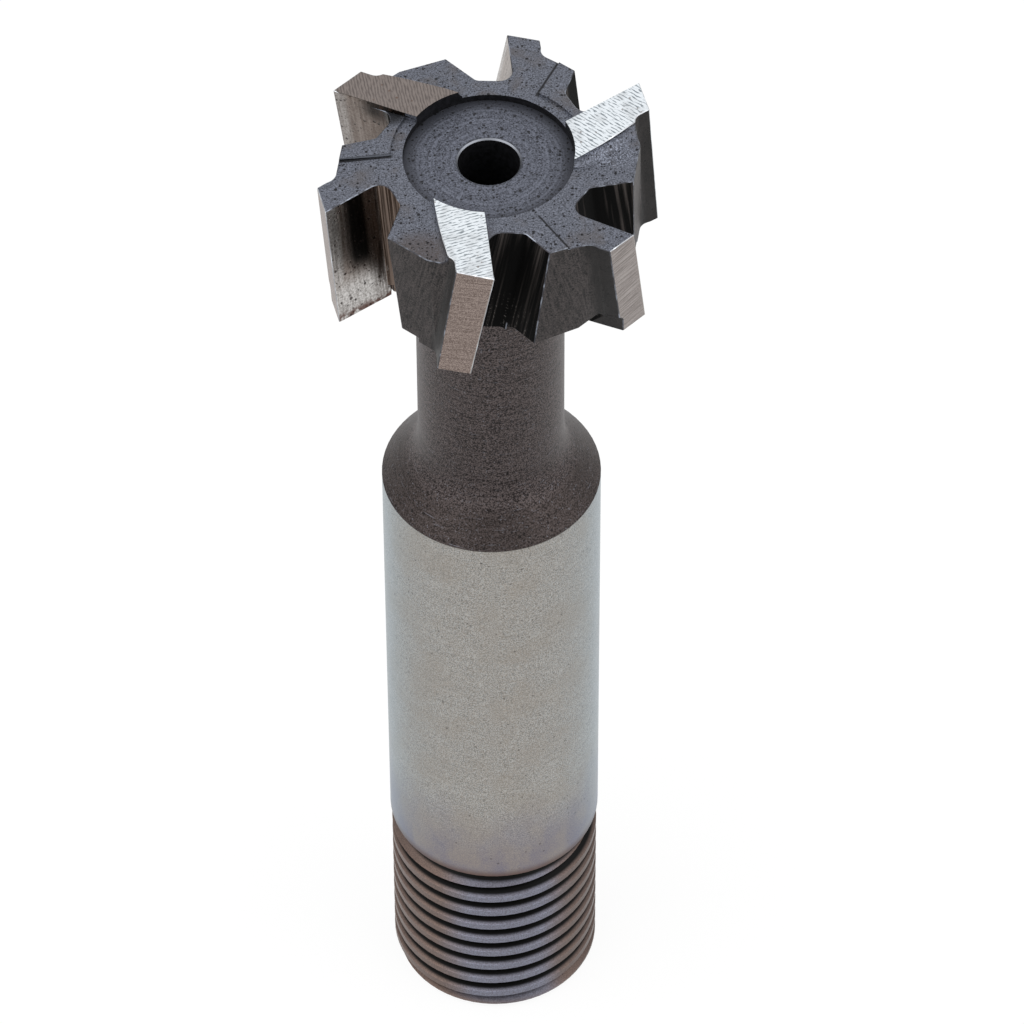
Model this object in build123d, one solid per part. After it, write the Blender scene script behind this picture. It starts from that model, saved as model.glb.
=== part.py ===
from build123d import *
import os
from math import cos, radians, sin, tan

# Driving sizes in millimetres and degrees.
# The origin is the centre of the shank's end face, and +Z runs towards the cutting end.
overall_length = 66.0
shank_diameter = 12.0
shank_length = 41.0
shank_edge_chamfer = 0.15

# Threaded end, which the draw chuck holds.
thread_diameter = 11.84
thread_length = 12.5
thread_pitch = 1.27
thread_depth = 0.6
thread_root_width = 0.22
thread_flank_angle = 27.5
thread_start_angle = -90.0
thread_start_height = 0.80
undercut_width = 0.75
undercut_depth = 0.62
end_chamfer = 0.45

# Centre hole in the end face.
centre_hole_diameter = 3.4
centre_pilot_diameter = 1.6
centre_pilot_depth = 3.6
centre_cone_angle = 60.0

# Shoulder and neck.
neck_diameter = 7.96
shoulder_angle = 50.0
shoulder_fillet = 2.6

# Head with staggered teeth.
tooth_count = 6
head_diameter = 18.5
head_width = 7.9
first_tooth_angle = -92.8
tooth_tilt = 10.0
rake_angle = 7.0

# Gullet ahead of each tooth, across its own direction.
gullet_floor_radius = 5.62
gullet_floor_width = 1.93
gullet_back_angle = 45.0
gullet_rake_fillet = 0.7
gullet_back_fillet = 0.4

# Land, channel and flat behind each cutting edge.
land_width = 1.66
land_flare = 1.8
land_relief = 13.0
channel_wall_angle = 8.0
channel_radius = 7.8
channel_slope = 16.0
channel_width = 3.0
channel_fillet = 0.6
flat_start = 2.4
flat_start_radius = 7.76
flat_angle = 36.0
flat_reach = 4.33
flat_fillet = 0.7
flat_exit_angle = 32.6

# Faces at both ends of the head.
end_rake_angle = 8.7
end_relief_fillet = 0.5
step_angle = 7.7
step_offset = 0.51
step_overlap = 0.15
pad_slope = 2.5

# Cutting end.
top_land_width = 1.88
top_land_angle = 14.1
top_land_bow = 0.21
top_relief_depth = 0.24
top_relief_slope = 3.1
top_relief_direction = -47.0
top_pad_depth = 0.08
ring_diameter = 10.3
ring_depth = 0.45

# Shank side, with deeper reliefs round a turned hub face.
back_land_width = 1.64
back_land_angle = 9.0
back_land_bow = 0.08
back_relief_depth = 1.18
back_relief_slope = 4.46
back_relief_direction = 70.0
back_pad_depth = 0.6
hub_diameter = 11.8
hub_depth = 0.42

# Recess and hole in the cutting end.
recess_diameter = 9.0
recess_depth = 0.88
bore_diameter = 3.28
bore_depth = 8.0
bore_chamfer = 0.08
drill_point_angle = 118.0

# Worked out from the sizes above.
shank_radius = shank_diameter / 2
thread_radius = thread_diameter / 2
neck_radius = neck_diameter / 2
head_radius = head_diameter / 2
half_width = head_width / 2
head_middle = overall_length - half_width
tooth_spacing = 360 / tooth_count
edge_lead = half_width * tan(radians(tooth_tilt))
blank_margin = 0.5
outside = head_radius + 3 * blank_margin
tool_overlap = 1.5


def turned_body():
    """Shank, threaded end, shoulder and neck as one turned profile."""
    shoulder_rise = (shank_radius - neck_radius) * tan(radians(shoulder_angle))
    undercut_radius = thread_radius - undercut_depth
    undercut_floor = thread_length - undercut_width
    outline = Polyline(
        (0, 0),
        (thread_radius - end_chamfer, 0),
        (thread_radius, end_chamfer),
        (thread_radius, undercut_floor - undercut_depth),
        (undercut_radius, undercut_floor),
        (undercut_radius, thread_length),
        (shank_radius - shank_edge_chamfer, thread_length),
        (shank_radius, thread_length + shank_edge_chamfer),
        (shank_radius, shank_length),
        (neck_radius, shank_length + shoulder_rise),
        (neck_radius, head_middle),
        (0, head_middle),
        close=True,
    )
    section = make_face(outline)
    neck_corner = section.vertices().sort_by_distance((neck_radius, shank_length + shoulder_rise))[0]
    section = fillet(neck_corner, shoulder_fillet)
    return revolve(Plane.XZ * section, Axis.Z)


def groove_run(height):
    """Cutting tool for a run of the helical groove, one turn or less, that starts at height zero."""
    margin = 0.2
    half_root = thread_root_width / 2
    half_mouth = half_root + (thread_depth + margin) * tan(radians(thread_flank_angle))
    helix = Helix(pitch=thread_pitch, height=height, radius=thread_radius - thread_depth)
    across = Plane(origin=helix @ 0, x_dir=(1, 0, 0), z_dir=helix % 0)
    section = across * make_face(Polyline(
        (0, -half_root),
        (thread_depth + margin, -half_mouth),
        (thread_depth + margin, half_mouth),
        (0, half_root),
        close=True,
    ))
    return Rot(0, 0, thread_start_angle) * sweep(section, path=helix, is_frenet=True)


def thread_turns():
    """Turns of the thread's groove, from below the end face into the undercut."""
    start = thread_start_height - thread_pitch
    run_out = thread_length - undercut_width - thread_depth / 4
    whole_turns = int((run_out - start) / thread_pitch)
    rest = run_out - start - whole_turns * thread_pitch
    turn = groove_run(thread_pitch)
    turns = [Pos(0, 0, start + step * thread_pitch) * turn for step in range(whole_turns)]
    if rest > thread_pitch / 10:
        turns.append(Pos(0, 0, start + whole_turns * thread_pitch) * groove_run(rest))
    return turns


def centre_hole():
    """Centre hole with its pilot, opening at the end face."""
    mouth = centre_hole_diameter / 2
    pilot = centre_pilot_diameter / 2
    cone_depth = (mouth - pilot) / tan(radians(centre_cone_angle / 2))
    point_depth = pilot / tan(radians(drill_point_angle / 2))
    outline = Polyline(
        (0, 0),
        (mouth, 0),
        (pilot, cone_depth),
        (pilot, centre_pilot_depth),
        (0, centre_pilot_depth + point_depth),
        close=True,
    )
    return revolve(Plane.XZ * make_face(outline), Axis.Z)


def tooth_frame(index):
    """Frame of one tooth at half the head's width: X outwards, Y ahead in the cutting direction."""
    return Pos(0, 0, head_middle) * Rot(0, 0, first_tooth_angle + index * tooth_spacing)


def leads_on_top(index):
    """Every second tooth leads on the cutting end, and the others lead on the shank side."""
    return index % 2 == 0


def along_tooth(index, section):
    """Cutting tool of one section, run along a tooth's tilted edge through the whole head."""
    tilt = -tooth_tilt if leads_on_top(index) else tooth_tilt
    run = half_width / cos(radians(tooth_tilt)) + tool_overlap
    return tooth_frame(index) * Rot(tilt, 0, 0) * extrude(section, amount=run, both=True)


def gullet(index):
    """Chip space ahead of a tooth: rake face, rounded floor and the back of the tooth in front."""
    rake_fall = tan(radians(rake_angle))
    floor_start = -(head_radius - gullet_floor_radius) * rake_fall
    floor_end = floor_start + gullet_floor_width
    back_reach = (outside - gullet_floor_radius) * tan(radians(gullet_back_angle))
    section = make_face(Polyline(
        (outside, (outside - head_radius) * rake_fall),
        (gullet_floor_radius, floor_start),
        (gullet_floor_radius, floor_end),
        (outside, floor_end + back_reach),
        close=True,
    ))
    rake_corner = section.vertices().sort_by_distance((gullet_floor_radius, floor_start))[0]
    section = fillet(rake_corner, gullet_rake_fillet)
    back_corner = section.vertices().sort_by_distance((gullet_floor_radius, floor_end))[0]
    section = fillet(back_corner, gullet_back_fillet)
    return along_tooth(index, section)


def land(index):
    """Relieved land behind the cutting edge."""
    relief_fall = tan(radians(land_relief))
    ahead = land_width / 2
    behind = 2 * land_width
    section = make_face(Polyline(
        (outside, ahead),
        (head_radius + ahead * relief_fall, ahead),
        (head_radius - behind * relief_fall, -behind),
        (outside, -behind),
        close=True,
    ))
    return along_tooth(index, section)


def channel(index):
    """Hollow channel behind the land. On teeth that lead on top it widens the land towards the top."""
    wall_fall = tan(radians(channel_wall_angle))
    wall_foot = -land_width - (head_radius - channel_radius) * wall_fall
    behind = land_width + channel_width
    channel_end = channel_radius - (behind + wall_foot) * tan(radians(channel_slope))
    section = make_face(Polyline(
        (outside, -land_width + (outside - head_radius) * wall_fall),
        (channel_radius, wall_foot),
        (channel_end, -behind),
        (outside, -behind),
        close=True,
    ))
    foot = section.vertices().sort_by_distance((channel_radius, wall_foot))[0]
    section = fillet(foot, channel_fillet)
    tool = along_tooth(index, section)
    if leads_on_top(index):
        hinge = tooth_frame(index) * Pos(0, 0, -half_width)
        tool = hinge * Rot(land_flare, 0, 0) * hinge.inverse() * tool
    return tool


def back_flat(index):
    """Flat that lowers the tooth's back from the channel to the gullet, parallel to the axis."""
    end_radius = flat_start_radius - flat_reach * sin(radians(flat_angle))
    end_back = flat_start + flat_reach * cos(radians(flat_angle))
    exit_run = outside - end_radius
    section = make_face(Polyline(
        (outside, -flat_start),
        (flat_start_radius, -flat_start),
        (end_radius, -end_back),
        (end_radius + exit_run * tan(radians(flat_exit_angle)), -end_back - exit_run),
        close=True,
    ))
    start = section.vertices().sort_by_distance((flat_start_radius, -flat_start))[0]
    section = fillet(start, flat_fillet)
    return tooth_frame(index) * extrude(section, amount=half_width + tool_overlap, both=True)


def sloped(tool, depth, slope, direction):
    """Place a tool whose floor lies at height zero: sunk by a depth, and falling in one direction."""
    return Pos(0, 0, half_width - depth) * Rot(0, 0, direction) * Rot(0, slope, 0) * Rot(0, 0, -direction) * tool


def step_line(turn, shift):
    """Two points of the step between a relief and the pad before it, turned about the axis."""
    fall = tan(radians(step_angle))
    near = Vector(neck_radius / 2 * fall - step_offset - shift, -neck_radius / 2)
    far = Vector(2 * head_radius * fall - step_offset - shift, -2 * head_radius)
    return near.rotate(Axis.Z, turn), far.rotate(Axis.Z, turn)


def end_relief(land_width_there, land_angle, bow, overlap):
    """Tool for the lowered face from the back of an end land to the step on the next tooth."""
    outer = Vector(head_radius, edge_lead - land_width_there)
    inward = Vector(-cos(radians(land_angle)), -sin(radians(land_angle)))
    inner = outer + inward * (head_radius - neck_radius * 0.7)
    middle = (outer + inner) / 2 + Vector(-inward.Y, inward.X) * bow
    near, far = step_line(0, overlap)
    boundary = [
        ThreePointArc(inner, middle, outer),
        Polyline(outer, (2 * head_radius, outer.Y), (2 * head_radius, -2 * head_radius), far, near, inner),
    ]
    tool = extrude(make_face(boundary), amount=head_width)
    foot = [edge for edge in tool.edges() if edge.geom_type == GeomType.CIRCLE and edge.center().Z < half_width]
    return fillet(foot, end_relief_fillet)


def end_pad(overlap):
    """Tool for the raised pad from an end land's leading edge to the step ahead of it."""
    rake_fall = tan(radians(end_rake_angle))
    reach = 2 * head_radius
    near, far = step_line(2 * tooth_spacing, -overlap)
    plan = make_face(Polyline(
        (0, edge_lead - head_radius * rake_fall),
        (reach, edge_lead + (reach - head_radius) * rake_fall),
        far,
        near,
        close=True,
    ))
    return extrude(plan, amount=head_width)


def top_tools():
    """Tools of one tooth that leads on the cutting end: relief, pad, and the ring in the pad's sector."""
    relief = end_relief(top_land_width, top_land_angle, top_land_bow, 0)
    relief = sloped(relief, top_relief_depth, top_relief_slope, top_relief_direction)
    sector = end_pad(step_overlap)
    pad = sloped(sector, top_pad_depth, pad_slope, tooth_spacing / 2)
    ring = extrude(Circle(ring_diameter / 2), amount=head_width) & sector
    return [relief, pad, Pos(0, 0, half_width - ring_depth) * ring]


def back_tools():
    """Tools of one tooth that leads on the shank side: relief and pad."""
    relief = end_relief(back_land_width, back_land_angle, back_land_bow, step_overlap)
    relief = sloped(relief, back_relief_depth, back_relief_slope, back_relief_direction)
    pad = sloped(end_pad(0), back_pad_depth, pad_slope, tooth_spacing / 2)
    return [mirror(tool, about=Plane.XY) for tool in (pad, relief)]


def ended_blank():
    """Head blank with both ends cut, and with the turned hub round the neck on the shank side."""
    blank = extrude(Circle(head_radius + blank_margin), amount=half_width, both=True)
    head = Pos(0, 0, head_middle) * blank
    at_the_top = top_tools()
    at_the_back = back_tools()
    for index in range(tooth_count):
        for tool in at_the_top if leads_on_top(index) else at_the_back:
            head -= tooth_frame(index) * tool
    hub_face = Pos(0, 0, overall_length - head_width + hub_depth)
    head += hub_face * extrude(Circle(hub_diameter / 2), amount=half_width)
    return head - hub_face * extrude(Circle(hub_diameter / 2), amount=-head_width)


def toothed_head():
    """Ended blank with every gullet, land, channel and flat cut."""
    head = ended_blank()
    for index in range(tooth_count):
        for tool in (gullet(index), land(index), channel(index), back_flat(index)):
            head -= tool
    return head


def cutting_end_hole():
    """Round recess in the cutting end, with a drilled hole at its centre."""
    recess_floor = overall_length - recess_depth
    bore_radius = bore_diameter / 2
    point_depth = bore_radius / tan(radians(drill_point_angle / 2))
    outline = Polyline(
        (0, overall_length + tool_overlap),
        (recess_diameter / 2, overall_length + tool_overlap),
        (recess_diameter / 2, recess_floor),
        (bore_radius + bore_chamfer, recess_floor),
        (bore_radius, recess_floor - bore_chamfer),
        (bore_radius, recess_floor - bore_depth),
        (0, recess_floor - bore_depth - point_depth),
        close=True,
    )
    return revolve(Plane.XZ * make_face(outline), Axis.Z)


def cutter():
    """The whole cutter as one solid."""
    solid = turned_body() - centre_hole()
    for turn in thread_turns():
        solid -= turn
    solid += toothed_head()
    solid -= cutting_end_hole()
    return solid


if __name__ == "__main__":
    os.makedirs("parts", exist_ok=True)
    export_step(cutter(), "parts/t_slot_cutter.step")
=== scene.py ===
from math import atan2, cos, degrees, hypot, radians, sin, tan

import bmesh
import bpy
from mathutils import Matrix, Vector


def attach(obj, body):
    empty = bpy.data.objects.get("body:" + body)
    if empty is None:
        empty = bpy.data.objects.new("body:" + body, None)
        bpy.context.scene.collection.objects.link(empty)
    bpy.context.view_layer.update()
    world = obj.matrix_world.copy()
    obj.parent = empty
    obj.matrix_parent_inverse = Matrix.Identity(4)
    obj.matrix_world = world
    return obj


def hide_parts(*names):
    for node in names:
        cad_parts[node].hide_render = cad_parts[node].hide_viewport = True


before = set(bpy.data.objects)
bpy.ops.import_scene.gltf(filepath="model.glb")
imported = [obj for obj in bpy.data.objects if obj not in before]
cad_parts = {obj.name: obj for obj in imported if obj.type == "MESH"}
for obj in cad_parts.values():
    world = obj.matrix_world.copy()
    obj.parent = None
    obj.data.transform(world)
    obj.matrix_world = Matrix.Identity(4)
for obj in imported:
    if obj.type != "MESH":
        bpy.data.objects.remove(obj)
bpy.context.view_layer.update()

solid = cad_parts["t_slot_cutter"]


# The cutter's body: one piece of hardened tool steel, turned, threaded, milled and ground.
# Its mesh is a merged copy of the solid. Each face gets the finish that its place on the tool has,
# and a place on its own tooth, in millimetres, which the grinding lines follow.
finishes = [
    "oxide_top",
    "oxide_side",
    "end_land",
    "side_land",
    "rake_face",
    "gullet",
    "recess_floor",
    "recess_wall",
    "turned_neck",
    "ground_shank",
    "thread",
    "step_wall",
    "worn_edge",
]

# Heights on the tool, in millimetres.
thread_end = 12.55
shank_end = 41.01
shank_side = 58.1
head_middle = 62.05
recess_floor_limit = 65.2
step_foot = 65.0
relief_foot = 65.25
cutting_end = 66.0

# Distances from the axis, in millimetres.
bore_rim_inner = 1.6
bore_rim_outer = 1.8
recess_radius = 4.5
ring_inner = 4.6
ring_outer = 5.3
shank_inner = 5.6
rake_inner = 5.9
neck_outer = 5.95
shank_radius = 6.0
gullet_outer = 6.4
gullet_back_outer = 7.7
land_inner = 8.6

# The teeth, with angles in degrees.
tooth_count = 6
tooth_spacing = 60
first_tooth = -92.8
tooth_tilt = 10.0
tooth_middle = 8
ahead_of_tooth = 338
step_slant = 7.7
step_offset = 0.51
back_turn = -45

# Each tooth's pattern lies this far from the last one's, so that one material can tell them apart.
tooth_shift = 20.0

# Parts of a face's normal that count as level, flat, downward, upward and square on.
nearly_level = 0.9
quite_level = 0.999
nearly_down = -0.8
barely_up = 0.05
rim_slope = 0.3
square_on = 0.93

# Small distances that allow for the solid's facets, in millimetres.
level_slack = 0.01
recess_slack = 0.02
step_slack = 0.12
hub_slack = 0.6


def bearing(place):
    """Angle of a place about the axis, in degrees."""
    return degrees(atan2(place.y, place.x))


def tooth_at(place):
    """Number of the tooth whose body, or whose gullet ahead of it, holds a place on the head."""
    behind = [(first_tooth + tooth_spacing * index - bearing(place)) % 360 for index in range(tooth_count)]
    behind = [value - 360 if value > ahead_of_tooth else value for value in behind]
    return min(range(tooth_count), key=lambda index: abs(behind[index] - tooth_middle))


def on_tooth(place, index):
    """A place in one tooth's own directions: outwards and ahead."""
    turn = radians(first_tooth + tooth_spacing * index)
    return place.x * cos(turn) + place.y * sin(turn), place.y * cos(turn) - place.x * sin(turn)


def beside_step(place, index):
    """Distance of a place on the cutting end from a tooth's step line, and along that line."""
    outwards, ahead = on_tooth(place, index)
    slant = radians(step_slant)
    from_line = (outwards + step_offset) * cos(slant) + ahead * sin(slant)
    return from_line, -ahead * cos(slant) + outwards * sin(slant)


def step_tooth(place):
    """Number of the tooth whose step line lies nearest to a place on the cutting end."""
    turns = [bearing(place) - first_tooth - tooth_spacing * index + 90 for index in (0, 2, 4)]
    away = [(turn + 180) % 360 - 180 for turn in turns]
    return 2 * min(range(3), key=lambda count: abs(away[count]))


def finish_of(middle, facing):
    """Finish of a face, from its middle and the way it faces."""
    reach = hypot(middle.x, middle.y)
    outward = Vector((middle.x, middle.y, 0)).normalized() if reach > 0.01 else Vector((1, 0, 0))
    if middle.z < thread_end:
        return "thread"
    if middle.z < shank_end and reach > shank_inner:
        return "ground_shank"
    if middle.z < shank_side + hub_slack and reach < neck_outer:
        return "turned_neck"
    if facing.z > nearly_level and reach < recess_radius and middle.z < recess_floor_limit:
        return "recess_floor"
    if reach < recess_radius + recess_slack and abs(facing.z) < nearly_level:
        on_the_rim = facing.z > rim_slope and bore_rim_inner < reach < bore_rim_outer
        return "worn_edge" if on_the_rim else "recess_wall"
    between_ends = shank_side + level_slack < middle.z < cutting_end - level_slack
    if abs(facing.z) > quite_level and not between_ends:
        return "end_land"
    if facing.z > nearly_level:
        return "oxide_top"
    if facing.z < nearly_down:
        return "oxide_side"
    if reach > land_inner and facing.dot(outward) > square_on:
        return "side_land"
    turn = radians(first_tooth + tooth_spacing * tooth_at(middle))
    if facing.dot(Vector((-sin(turn), cos(turn), 0))) > square_on and reach > rake_inner:
        return "rake_face"
    if middle.z > step_foot and abs(beside_step(middle, step_tooth(middle))[0]) < step_slack:
        return "step_wall"
    if middle.z > relief_foot and (facing.z > barely_up or ring_inner < reach < ring_outer):
        return "oxide_top"
    turned_back = (degrees(atan2(facing.y, facing.x)) - bearing(middle) + 180) % 360 - 180
    if reach < gullet_outer or (reach < gullet_back_outer and turned_back < back_turn):
        return "gullet"
    return "oxide_side"


def pattern_place(place, finish, index, step):
    """Place of a face's corner on the pattern of its finish, in millimetres."""
    outwards, ahead = on_tooth(place, index)
    up = place.z - head_middle
    lean = tan(radians(tooth_tilt)) * (1 if index % 2 == 0 else -1)
    across = ahead - lean * up
    shift = tooth_shift * index
    if finish == "oxide_top":
        from_line, along = beside_step(place, step)
        return shift + from_line, along
    if finish == "end_land":
        return shift + outwards, ahead
    if finish in ("side_land", "oxide_side"):
        return shift + across, up
    if finish == "rake_face":
        return shift + outwards, up
    if finish == "gullet":
        return shift + across * 0.5 - outwards * 1.2, up
    return radians(bearing(place)) * shank_radius, place.z


facet_merge = 0.000002
flat_within = radians(0.4)
shape = bmesh.new()
shape.from_mesh(solid.data)
bmesh.ops.remove_doubles(shape, verts=shape.verts, dist=facet_merge)
bmesh.ops.dissolve_limit(shape, angle_limit=flat_within, verts=shape.verts, edges=shape.edges)
bmesh.ops.recalc_face_normals(shape, faces=shape.faces)
pattern = shape.loops.layers.uv.new("pattern")
for face in shape.faces:
    middle = face.calc_center_median() * 1000
    finish = finish_of(middle, face.normal)
    face.material_index = finishes.index(finish)
    face.smooth = True
    index = tooth_at(middle)
    step = step_tooth(middle)
    foot = min(vert.co.z for vert in face.verts) * 1000
    for loop in face.loops:
        loop[pattern].uv = pattern_place(loop.vert.co * 1000, finish, index, step)
        if finish == "step_wall":
            loop[pattern].uv.y = loop.vert.co.z * 1000 - foot

# The small break that a stone left along the head's sharp edges. It is brightest beside
# the end lands, partly as a painted highlight, and the pattern keeps how bright. All the faces beside
# the breaks are read before the breaks get their own finish.
edge_break = 0.00004
sharp_from = radians(35)
smooth_below = radians(24)
lowest_break = 0.05808
innermost_break = 0.0052
break_merge = 0.000001
sharp = [
    edge
    for edge in shape.edges
    if edge.is_convex
    and edge.calc_face_angle(0) > sharp_from
    and min(vert.co.z for vert in edge.verts) > lowest_break
    and min(hypot(vert.co.x, vert.co.y) for vert in edge.verts) > innermost_break
    and not any(finishes[beside.material_index] == "step_wall" for beside in edge.link_faces)
]
broken = bmesh.ops.bevel(
    shape,
    geom=sharp,
    offset=edge_break,
    offset_type="OFFSET",
    segments=1,
    profile=0.5,
    affect="EDGES",
    clamp_overlap=False,
    material=-1,
)
for face in broken["faces"]:
    beside = {finishes[near.material_index] for edge in face.edges for near in edge.link_faces}
    shine = 0.0
    if "end_land" in beside:
        shine = 1.0
    elif {"rake_face", "side_land"} <= beside:
        shine = 0.7
    for loop in face.loops:
        loop[pattern].uv = (shine, 0)
for face in broken["faces"]:
    face.material_index = finishes.index("worn_edge")
bmesh.ops.remove_doubles(shape, verts=shape.verts, dist=break_merge)
bmesh.ops.dissolve_degenerate(shape, dist=break_merge, edges=shape.edges)
for edge in shape.edges:
    edge.smooth = edge.calc_face_angle(0) < smooth_below
cutter_mesh = bpy.data.meshes.new("cutter")
shape.to_mesh(cutter_mesh)
shape.free()
cutter = bpy.data.objects.new("cutter", cutter_mesh)
bpy.context.scene.collection.objects.link(cutter)
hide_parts("t_slot_cutter")
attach(cutter, "root")


# Black oxide on the cutting end's lowered faces: blue-grey, matt and finely pitted.
# The quench scale was never ground off here. Along the foot of the step on every second tooth
# runs a fine line of painted shade, and a painted shadow lies under the land at the upper left.
class Shade:
    """A socket of a material's nodes, so that shader maths is written as Python."""

    def __init__(self, tree, socket=None):
        self.tree = tree
        self.socket = socket

    def node(self, kind, settings=None, sockets=None, output=0):
        """Another node: its settings first, then the values or links of its sockets."""
        made = self.tree.nodes.new(kind)
        for name, value in (settings or {}).items():
            setattr(made, name, value)
        for name, value in (sockets or {}).items():
            if isinstance(value, Shade):
                self.tree.links.new(value.socket, made.inputs[name])
            else:
                made.inputs[name].default_value = value
        return Shade(self.tree, made.outputs[output])

    def maths(self, operation, first, second=0.0):
        """One Math node on two values."""
        return self.node("ShaderNodeMath", {"operation": operation}, {0: first, 1: second})

    def __add__(self, other):
        return self.maths("ADD", self, other)

    def __radd__(self, other):
        return self.maths("ADD", other, self)

    def __sub__(self, other):
        return self.maths("SUBTRACT", self, other)

    def __rsub__(self, other):
        return self.maths("SUBTRACT", other, self)

    def __mul__(self, other):
        return self.maths("MULTIPLY", self, other)

    def __rmul__(self, other):
        return self.maths("MULTIPLY", other, self)

    def __truediv__(self, other):
        return self.maths("DIVIDE", self, other)

    def size(self):
        """The value without its sign."""
        return self.maths("ABSOLUTE", self)

    def between(self, low, high):
        """Zero up to one value, one from another on, and a smooth run between them."""
        run = {"interpolation_type": "SMOOTHSTEP"}
        return self.node("ShaderNodeMapRange", run, {"Value": self, "From Min": low, "From Max": high})

    def mix(self, none, full):
        """Colour between two others, by this mask."""
        return self.node("ShaderNodeMix", {"data_type": "RGBA"}, {0: self, 6: none, 7: full}, 2)


def pixel(red, green, blue):
    """Linear colour of a picture's values from 0 to 255."""
    shares = [value / 255 for value in (red, green, blue)]
    linear = [((share + 0.055) / 1.055) ** 2.4 if share > 0.04045 else share / 12.92 for share in shares]
    return (*linear, 1.0)


def millimetres(shade):
    """Place on the whole tool, in millimetres."""
    place = shade.node("ShaderNodeTexCoord", output="Object")
    return shade.node("ShaderNodeVectorMath", {"operation": "SCALE"}, {0: place, "Scale": 1000.0})


def numbers_of(place, count):
    """The first two or all three numbers of a place."""
    return [place.node("ShaderNodeSeparateXYZ", {}, {0: place}, axis) for axis in range(count)]


def on_pattern(shade):
    """The two numbers of a face's own place: across and along."""
    return numbers_of(shade.node("ShaderNodeUVMap", {"uv_map": "pattern"}), 2)


def by_tooth(shifted, spare=0.0):
    """Number of the tooth of a shifted place, and the place without the shift.

    The spare keeps every place of one tooth on the same side of the rounding.
    """
    tooth = shifted.maths("ROUND", (shifted + spare) / tooth_shift)
    return tooth, shifted - tooth * tooth_shift


def grain(shade, place, scale, detail=2.0):
    """Soft random value from 0 to 1."""
    return shade.node("ShaderNodeTexNoise", {}, {"Vector": place, "Scale": scale, "Detail": detail})


def pits(shade, place, *kinds):
    """Mask of round pits. Each kind gives its cells to the millimetre, and the share that hold one."""
    widest = 0.42
    mask = None
    for scale, share in kinds:
        cell = {"Vector": place, "Scale": scale}
        away = shade.node("ShaderNodeTexVoronoi", {}, cell, "Distance")
        colour = shade.node("ShaderNodeTexVoronoi", {}, cell, "Color")
        chance = shade.node("ShaderNodeSeparateColor", {}, {0: colour})
        found = ((chance - (1 - share)) * (widest / share) - away).between(-0.04, 0.1)
        mask = found if mask is None else shade.maths("MAXIMUM", mask, found)
    return mask


def round_patch(x, y, centre, inner, outer, x_weight=1.0):
    """Mask about a centre: full within one squared distance, and gone beyond another."""
    from_x = x - centre[0]
    from_y = y - centre[1]
    return 1 - (from_x * from_x * x_weight + from_y * from_y).between(inner, outer)


def finish_with(base, rough, metal, relief=None, height=0.0):
    """One finish on the cutter: its colour, roughness, and the relief of its marks in metres."""
    surface = base.tree.nodes["Principled BSDF"]
    base.tree.links.new(base.socket, surface.inputs["Base Color"])
    surface.inputs["Roughness"].default_value = rough
    surface.inputs["Metallic"].default_value = metal
    if relief is not None:
        bump = base.node("ShaderNodeBump", {}, {"Height": relief, "Distance": height, "Strength": 1.0})
        base.tree.links.new(bump.socket, surface.inputs["Normal"])
    return surface


shades = {}
for name in finishes:
    material = bpy.data.materials.new(name)
    material.use_nodes = True
    cutter_mesh.materials.append(material)
    shades[name] = Shade(material.node_tree)

oxide = shades["oxide_top"]
place = millimetres(oxide)
x, y = numbers_of(place, 2)
shifted, along_step = on_pattern(oxide)
from_step = by_tooth(shifted)[1]
fine = grain(oxide, place, 13.0)
cloud = grain(oxide, place, 0.8)
speck = grain(oxide, place, 10.0).between(0.52, 0.64)
pitted = pits(oxide, place, (4.4, 0.6), (7.5, 0.45))
blue = fine.between(0.32, 0.68).mix(pixel(66, 68, 75), pixel(116, 120, 132))
brown = (cloud.between(0.5, 0.75) * 0.6).mix(blue, pixel(88, 83, 82))
by_the_land = round_patch(x, y, (-3.6, -7.0), 0.6, 4.2) * 0.7
stained = by_the_land.mix(brown, pixel(80, 71, 67))
mottle = round_patch(x, y, (6.3, 0.2), 0.3, 1.6, 0.5)
light = (speck * (0.12 + mottle * 0.6)).mix(stained, pixel(164, 170, 186))
# A painted shadow on the faces under the land at the upper left.
painted_shadow_under_land = round_patch(x, y, (-5.2, 3.1), 0.3, 1.4) * 0.85
shadowed = painted_shadow_under_land.mix(light, pixel(12, 12, 14))
dark = (pitted * 0.92).mix(shadowed, pixel(14, 13, 16))
# A fine line of painted shade along the foot of each step.
line = (1 - (from_step - 0.06).size().between(0.06, 0.13)) * along_step.between(4.9, 5.1)
stepped = (line * 0.9).mix(dark, pixel(14, 13, 14))
finish_with(stepped, 0.55, 0.6, fine * 0.3 - pitted, 0.000015)


# Black oxide on the flanks, the flats and the shank side of the head: darker and browner,
# with fine lines that the milling left along each tooth, and a painted shadow just behind each land.
def streaked(shade, across, along, third=0.0, detail=2.0):
    """Soft random value from 0 to 1 in three numbers, each stretched as the marks run."""
    place = shade.node("ShaderNodeCombineXYZ", {}, {0: across, 1: along, 2: third})
    return grain(shade, place, 1.0, detail)


flank = shades["oxide_side"]
place = millimetres(flank)
shifted, up = on_pattern(flank)
across = by_tooth(shifted, 5)[1]
milled = streaked(flank, shifted * 9, up * 0.8)
fine = grain(flank, place, 13.0)
pitted = pits(flank, place, (4.4, 0.4), (7.0, 0.3))
bare = (fine * 0.6 + milled * 0.4).between(0.36, 0.64).mix(pixel(20, 18, 18), pixel(72, 66, 65))
# A painted shadow of the land along the flank just behind it.
land_shadow = (1 - (across + 1.8).size().between(0.15, 0.7)) * 0.75
shaded_behind_land = land_shadow.mix(bare, pixel(12, 11, 11))
finish_with((pitted * 0.85).mix(shaded_behind_land, pixel(14, 12, 12)), 0.55, 0.5, milled - pitted, 0.00001)
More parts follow.
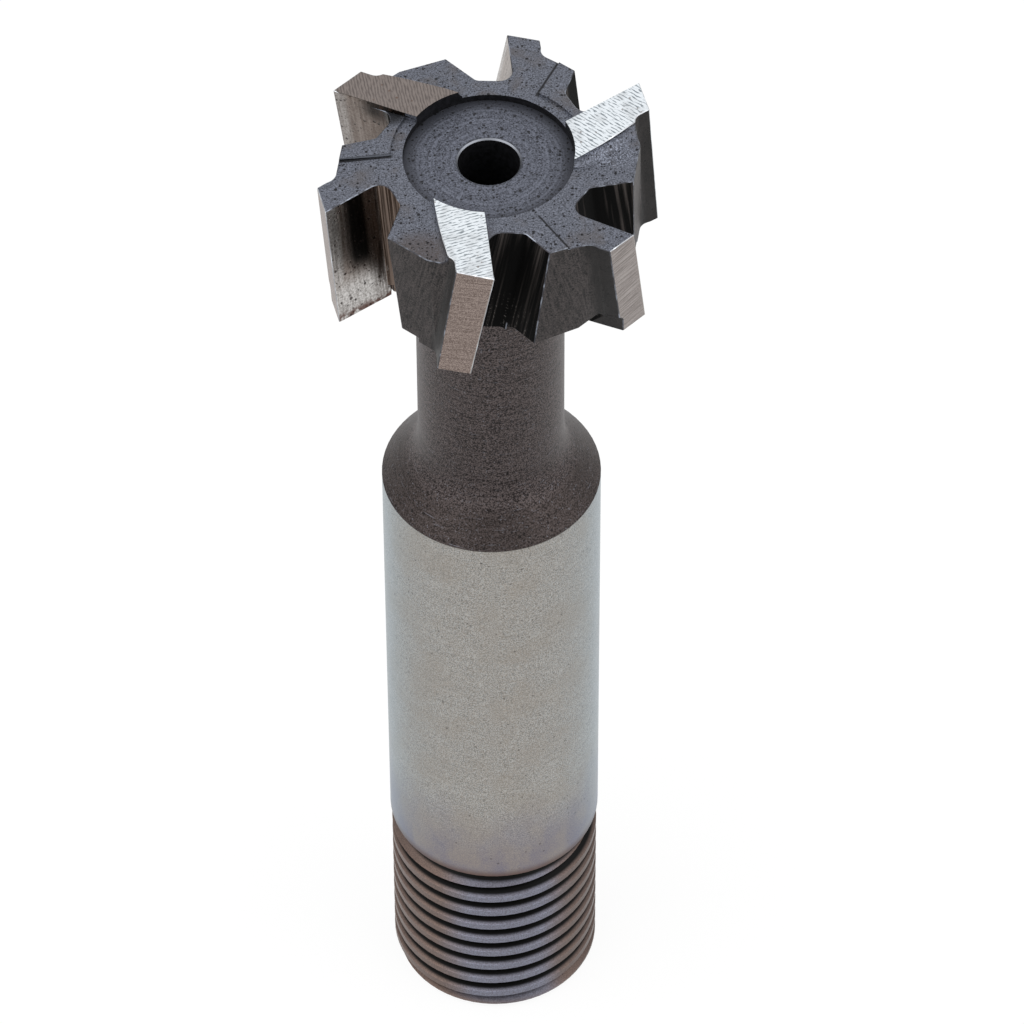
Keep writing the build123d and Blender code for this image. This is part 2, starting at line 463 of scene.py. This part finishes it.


# The end lands: the ends of the teeth that lead, surface-ground bright, with the wheel's fine
# straight lines nearly across each land and a few brown specks where the scale came through.
# The land at the upper left is painted duller, as painted shade, and its lines slant more.
wheel_lines = 29
line_slant = 0.42
more_slant = 0.5
land = shades["end_land"]
place = millimetres(land)
outwards, ahead = on_pattern(land)
upper_left = outwards.between(68, 70) * (1 - outwards.between(96, 98))
across_lines = outwards + ahead * (line_slant + upper_left * more_slant)
wander = streaked(land, outwards * 0.6, ahead * 0.6)
waves = land.maths("SINE", across_lines * wheel_lines + wander * 6)
dashes = streaked(land, across_lines * 12, ahead * 3.0, detail=3.0)
lines = waves * 0.1 + dashes
bright = lines.between(0.34, 0.5).mix(pixel(136, 144, 150), pixel(236, 242, 247))
# The duller colour of the land at the upper left is painted shade.
shaded_land = lines.between(0.34, 0.6).mix(pixel(104, 97, 94), pixel(134, 125, 121))
rubbed = grain(land, place, 0.9).between(0.46, 0.7) * 0.35 * (1 - upper_left)
worn_and_shaded = rubbed.mix(upper_left.mix(bright, shaded_land), pixel(170, 172, 174))
rusty = pits(land, place, (5.0, 0.1))
finish_with((rusty * 0.6).mix(worn_and_shaded, pixel(96, 74, 60)), 0.3, 1.0, lines, 0.000004)


# The side lands: the narrow relieved faces behind the cutting edges, ground to a warm grey,
# with lines across them and a lighter cutting edge. The land at the right is greyer than the rest.
def only_tooth(tooth, index):
    """Mask of one tooth's faces."""
    return tooth.between(index - 0.4, index - 0.2) * (1 - tooth.between(index + 0.2, index + 0.4))


rim = shades["side_land"]
place = millimetres(rim)
shifted, up = on_pattern(rim)
tooth, across = by_tooth(shifted)
lines = streaked(rim, across * 0.5 + tooth, (up - across * 0.14) * 22, detail=3.0)
fine = grain(rim, place, 15.0)
warm = (lines * 0.4 + fine * 0.6).between(0.38, 0.62).mix(pixel(103, 90, 84), pixel(155, 141, 134))
grey = lines.between(0.36, 0.6).mix(pixel(104, 99, 97), pixel(172, 168, 166))
ground = (only_tooth(tooth, 1) * 0.6).mix(warm, grey)
edged = (across.between(-0.1, -0.03) * 0.5).mix(ground, pixel(196, 192, 188))
finish_with(edged, 0.34, 1.0, lines, 0.000004)


# The rake faces: ground steel that looks beige under a thin stain, brushed up and down
# and pitted, with rust low down. The face at the left has a black patch of painted dark reflection,
# and the one at the upper left lies in a painted shadow of its land.
rake = shades["rake_face"]
place = millimetres(rake)
shifted, up = on_pattern(rake)
tooth, outwards = by_tooth(shifted, -7)
streaks = streaked(rake, outwards * 7, up * 0.35, tooth * 3, 3.0)
fine = grain(rake, place, 9.0, 3.0)
pitted = pits(rake, place, (4.0, 0.4), (7.0, 0.3))
low = 1 - up.between(-2.4, -0.8)
beige = (streaks * 0.6 + fine * 0.4).between(0.36, 0.64).mix(pixel(112, 100, 93), pixel(158, 148, 141))
ashen = (streaks * 0.4 + fine * 0.6).between(0.36, 0.64).mix(pixel(150, 147, 144), pixel(216, 214, 212))
pale = rake.maths("MAXIMUM", low * 0.85, outwards.between(8.4, 8.8) * 0.6).mix(beige, ashen)
upper_left = only_tooth(tooth, 4)
shaded = (upper_left * 0.45).mix(pale, pixel(84, 74, 68))
at_the_top = upper_left * (1 - outwards.between(6.9, 8.2)) * up.between(2.0, 3.3)
overcast = (at_the_top * 0.9).mix(shaded, pixel(12, 11, 11))
# A black patch of painted dark reflection on the face at the left.
dark_reflection_place = outwards.between(6.7, 7.15) * (1 - outwards.between(7.7, 8.4)) * up.between(-1.9, -0.2)
dark_reflection = dark_reflection_place * only_tooth(tooth, 5) * (0.75 + streaks * 0.5)
reflection_darkened = rake.maths("MINIMUM", dark_reflection, 0.93).mix(overcast, pixel(14, 13, 12))
inner = (1 - outwards.between(6.4, 7.2)) * streaks.between(0.4, 0.6)
stained = (inner * 0.85).mix(reflection_darkened, pixel(56, 43, 35))
rust_patch = grain(rake, place, 1.6, 3.0).between(0.36, 0.5) * (1 - up.between(-3.75, -3.3))
rusted = (rust_patch * 0.85).mix(stained, pixel(74, 38, 24))
finish_with((pitted * 0.8).mix(rusted, pixel(40, 33, 30)), 0.33, 1.0, streaks - pitted, 0.00001)


# The gullets: the chip spaces between the teeth, dark oxide painted almost black as the shade
# deep between the teeth, with bright and dark streaks that the milling cutter left up and down,
# scraped marks near the bottom, and a rusty brown in the gullet on the left.
gullet = shades["gullet"]
place = millimetres(gullet)
x, y = numbers_of(place, 2)
across, up = on_pattern(gullet)
streaks = streaked(gullet, across * 8, up * 0.12, detail=3.0)
fine = grain(gullet, place, 8.0, 3.0)
veil = streaked(gullet, across * 1.4, up * 0.1, detail=1.0).between(0.44, 0.62)
# The near black here is painted shade in the hollow between the teeth.
deep = (streaks.between(0.46, 0.7) * veil).mix(pixel(5, 5, 5), pixel(76, 71, 69))
on_the_left = round_patch(x, y, (-5.6, -2.8), 1.4, 4.0)
rusty_brown = streaks.between(0.4, 0.6).mix(pixel(136, 120, 110), pixel(58, 46, 38))
browned = (on_the_left * 0.9).mix(deep, rusty_brown)
scraped = fine.between(0.56, 0.66) * streaks.between(0.48, 0.6) * (1 - up.between(-2.2, -0.6))
surface = finish_with((scraped * 0.6).mix(browned, pixel(140, 136, 132)), 0.75, 0.1, streaks, 0.00001)
surface.inputs["Specular IOR Level"].default_value = 0.06


# The recess in the cutting end: a turned floor with fine rings about the axis, finely pitted,
# and darker towards its rim as painted shade, inside a wall painted near black as shade
# that runs on down the drilled hole.
def from_axis(x, y):
    """Distance from the axis."""
    return x.maths("POWER", x * x + y * y, 0.5)


recess = shades["recess_floor"]
place = millimetres(recess)
reach = from_axis(*numbers_of(place, 2))
turned = streaked(recess, reach * 6, 0.0)
fine = grain(recess, place, 13.0)
pitted = pits(recess, place, (4.3, 0.8), (7.5, 0.5)) * turned.between(0.3, 0.5)
blue = (fine * 0.6 + turned * 0.4).between(0.36, 0.64).mix(pixel(56, 58, 66), pixel(112, 116, 129))
# Painted shade on the floor towards the recess wall.
shaded_rim = reach.between(3.3, 4.5).mix(blue, pixel(60, 62, 70))
finish_with((pitted * 0.9).mix(shaded_rim, pixel(20, 20, 22)), 0.52, 0.6, turned - pitted, 0.000015)

# The recess wall and the drilled hole: painted near black as shade, an uneven mix of two dark greys.
wall = shades["recess_wall"]
wall_shade_grain = grain(wall, millimetres(wall), 4.0).between(0.3, 0.7)
finish_with(wall_shade_grain.mix(pixel(14, 14, 16), pixel(34, 34, 38)), 0.5, 0.6)


# The step walls and the broken edges: a step is painted black at its foot as shade,
# and blue-grey above as a painted highlight along its top. A broken edge is grey on the oxide
# and bright beside a ground land, partly as a painted highlight. The thin rim of the drilled hole
# is an even grey, lighter than the hole as a painted highlight.
step_shade = shades["step_wall"]
height = on_pattern(step_shade)[1]
# Painted shade at the foot of the step wall, and a painted highlight above it.
finish_with(height.between(0.08, 0.11).mix(pixel(8, 8, 8), pixel(150, 155, 166)), 0.5, 0.6)

edge_shade = shades["worn_edge"]
place = millimetres(edge_shade)
x, y = numbers_of(place, 2)
shine = on_pattern(edge_shade)[0]
rubbed = grain(edge_shade, place, 1.6, 3.0).between(0.45, 0.7)
# The grey and the bright colours of the breaks are partly painted highlight.
dull_edge = rubbed.mix(pixel(62, 62, 66), pixel(138, 143, 154))
bright_edge = rubbed.mix(pixel(176, 178, 182), pixel(236, 240, 244))
# The rim of the drilled hole: an even grey, lighter as a painted highlight.
beyond_bore = (x * x + y * y).between(3.4, 3.8)
finish_with(beyond_bore.mix(pixel(128, 131, 138), shine.mix(dull_edge, bright_edge)), 0.35, 1.0)


# The neck and the shoulder: turned, never ground, dark brown-grey oxide
# with the lathe's fine lines round them, lighter scratches here and there, and small painted glints.
neck = shades["turned_neck"]
place = millimetres(neck)
x, y, z = numbers_of(place, 3)
turned = streaked(neck, x * 0.35, y * 0.35, z * 9, 3.0)
fine = grain(neck, place, 13.0)
pitted = pits(neck, place, (4.6, 0.3), (7.5, 0.3))
scratch = streaked(neck, x * 0.8, y * 0.8, z * 16).between(0.66, 0.74)
# Small painted glints among the scratches.
glint = grain(neck, place, 9.0).between(0.62, 0.72)
brown = (fine * 0.8 + turned * 0.2).between(0.36, 0.64).mix(pixel(20, 16, 15), pixel(94, 85, 84))
dusky = ((x * x + y * y).between(18.5, 24.0) * 0.5).mix(brown, pixel(44, 37, 34))
scratched_and_glinting = neck.maths("MAXIMUM", scratch * 0.4, glint * 0.4).mix(dusky, pixel(128, 129, 138))
finish_with((pitted * 0.8).mix(scratched_and_glinting, pixel(20, 17, 16)), 0.45, 0.8, turned - pitted, 0.000008)


# The shank: cylindrically ground to fit the chuck, a satin grey with a very fine grain,
# stained purple and brown by the quench just above the thread.
shank = shades["ground_shank"]
place = millimetres(shank)
x, y, z = numbers_of(place, 3)
fine = grain(shank, place, 15.0)
hue = grain(shank, place, 12.0)
ground = streaked(shank, x * 0.5, y * 0.5, z * 12)
cloud = grain(shank, place, 0.35)
satin = (fine * 0.85 + ground * 0.15).between(0.34, 0.66).mix(pixel(116, 115, 112), pixel(180, 179, 176))
warm = (hue.between(0.4, 0.6) * 0.3).mix(satin, pixel(162, 148, 132))
warmer = (cloud.between(0.45, 0.65) * 0.3).mix(warm, pixel(148, 139, 128))
tint_height = z + streaked(shank, x * 0.5, y * 0.5, z * 0.25, 3.0) * 3
tint = (1 - tint_height.between(14.5, 21.5)) * 0.9
patch = streaked(shank, x * 0.6, y * 0.6, z * 0.35)
hotter = fine.between(0.3, 0.7) * 0.45 + patch.between(0.36, 0.66) * 0.55
heat = hotter.mix(pixel(112, 108, 124), pixel(142, 132, 124))
brown_edge = (1 - z.between(12.6, 13.3)) * 0.85
edged = brown_edge.mix(tint.mix(warmer, heat), pixel(96, 74, 64))
pitted = pits(shank, place, (5.0, 0.06))
spotted = (pitted * 0.6).mix(edged, pixel(70, 64, 60))
top_line = z.between(40.93, 40.99) * 0.6
surface = finish_with(top_line.mix(spotted, pixel(60, 54, 50)), 0.3, 1.0, fine, 0.000004)
surface.inputs["Specular Tint"].default_value = (0.84, 0.93, 1.0, 1.0)


# The threaded end: cut, not ground, dark brown oxide on the flanks, the crests painted a little lighter
# as a highlight, and blue-grey across the middle as a painted reflection. The right side is painted
# darker as shade, and the bottom of the groove is painted black as shade.
thread = shades["thread"]
place = millimetres(thread)
x, y, z = numbers_of(place, 3)
reach = from_axis(x, y)
fine = grain(thread, place, 13.0)
cloud = streaked(thread, x * 0.3, y * 0.3, z * 0.2)
blurred = x + (cloud - 0.5) * 2
# A painted blue-grey reflection in a band across the middle of the thread.
blue_reflection_share = blurred.between(-3.4, -1.4) * (1 - blurred.between(2.4, 4.6)) * z.between(0.3, 0.6)
crest_colour = blue_reflection_share.mix(pixel(116, 99, 92), pixel(126, 128, 143))
flank_colour = blue_reflection_share.mix(pixel(104, 88, 81), pixel(112, 112, 124))
# The crests are painted lighter than the flanks as a highlight.
crest = reach.between(5.86, 5.91).mix(flank_colour, crest_colour)
rough_skin = (fine.between(0.36, 0.66) * 0.45).mix(crest, pixel(60, 52, 50))
# Painted shade on the right side of the thread.
shaded_right = (x.between(2.5, 5.8) * 0.4).mix(rough_skin, pixel(66, 57, 55))
depth = reach + z.between(11.0, 11.2) * 0.24 + (1 - z.between(0.5, 0.75)) * 6
# Painted shade: black at the bottom of the groove.
groove = depth.between(5.66, 5.86).mix(pixel(2, 2, 2), shaded_right)
finish_with(groove, 0.4, 0.8, fine, 0.000006)


# The floor: a plain white sheet that the cutter stands on, on its shank's end.
# It glows a little where the camera or a reflection sees it, and still keeps a faint shadow.
def seen_by(shade, *rays):
    """Mask of light that arrives by the named kinds of ray."""
    mask = shade.node("ShaderNodeLightPath", output=rays[0])
    for ray in rays[1:]:
        mask = shade.maths("MAXIMUM", mask, shade.node("ShaderNodeLightPath", output=ray))
    return mask


glow_strength = 1.03
glow_share = 0.88
floor_mesh = bpy.data.meshes.new("floor")
paper = bmesh.new()
bmesh.ops.create_grid(paper, x_segments=1, y_segments=1, size=3.0)
paper.to_mesh(floor_mesh)
paper.free()
floor_sheet = bpy.data.objects.new("floor", floor_mesh)
bpy.context.scene.collection.objects.link(floor_sheet)
floor_white = bpy.data.materials.new("floor_white")
floor_white.use_nodes = True
floor_mesh.materials.append(floor_white)
sheet = Shade(floor_white.node_tree)
matt = sheet.node("ShaderNodeBsdfDiffuse", {}, {"Color": (0.9, 0.9, 0.9, 1)})
glow = sheet.node("ShaderNodeEmission", {}, {"Color": (1, 1, 1, 1), "Strength": glow_strength})
seen = seen_by(sheet, "Is Camera Ray", "Is Glossy Ray")
both = sheet.node("ShaderNodeMixShader", {}, {0: seen * glow_share, 1: matt, 2: glow})
floor_out = floor_white.node_tree.nodes["Material Output"]
floor_white.node_tree.links.new(both.socket, floor_out.inputs["Surface"])


# The studio: an even white room, with one large soft lamp above to the left
# and a weaker one to the right.
room_light = 0.6
aim = Vector((0, 0, 0.04))
room = bpy.data.worlds.new("room")
bpy.context.scene.world = room
room.use_nodes = True
walls = Shade(room.node_tree)
seen = seen_by(walls, "Is Camera Ray", "Is Glossy Ray", "Is Transmission Ray")
background = room.node_tree.nodes["Background"]
background.inputs["Color"].default_value = (1, 1, 1, 1)
room.node_tree.links.new((room_light + seen * (1 - room_light)).socket, background.inputs["Strength"])

for name, spot, width, power in [
    ("key_lamp", (-0.75, -0.35, 1.1), 1.5, 9.0),
    ("fill_lamp", (0.95, -0.35, 0.9), 1.4, 7.0),
]:
    lamp = bpy.data.lights.new(name, "AREA")
    lamp.size = width
    lamp.energy = power
    lamp_object = bpy.data.objects.new(name, lamp)
    lamp_object.location = spot
    lamp_object.rotation_euler = (aim - Vector(spot)).to_track_quat("-Z", "Y").to_euler()
    bpy.context.scene.collection.objects.link(lamp_object)


# The camera: a long lens from in front and above, where the photograph was taken.
# Its place and turn come from the bore, the recess, the shank and the thread in that picture.
camera = bpy.data.cameras.new("camera")
camera.lens = 239.22
camera.sensor_width = 36.0
camera.clip_start = 0.02
camera_object = bpy.data.objects.new("camera", camera)
camera_object.location = (0.0, -0.24761152, 0.31940012)
camera_object.rotation_euler = (radians(41.289163), radians(0.181185), radians(-0.464520))
bpy.context.scene.collection.objects.link(camera_object)
bpy.context.scene.camera = camera_object
bpy.context.scene.view_settings.view_transform = "Standard"
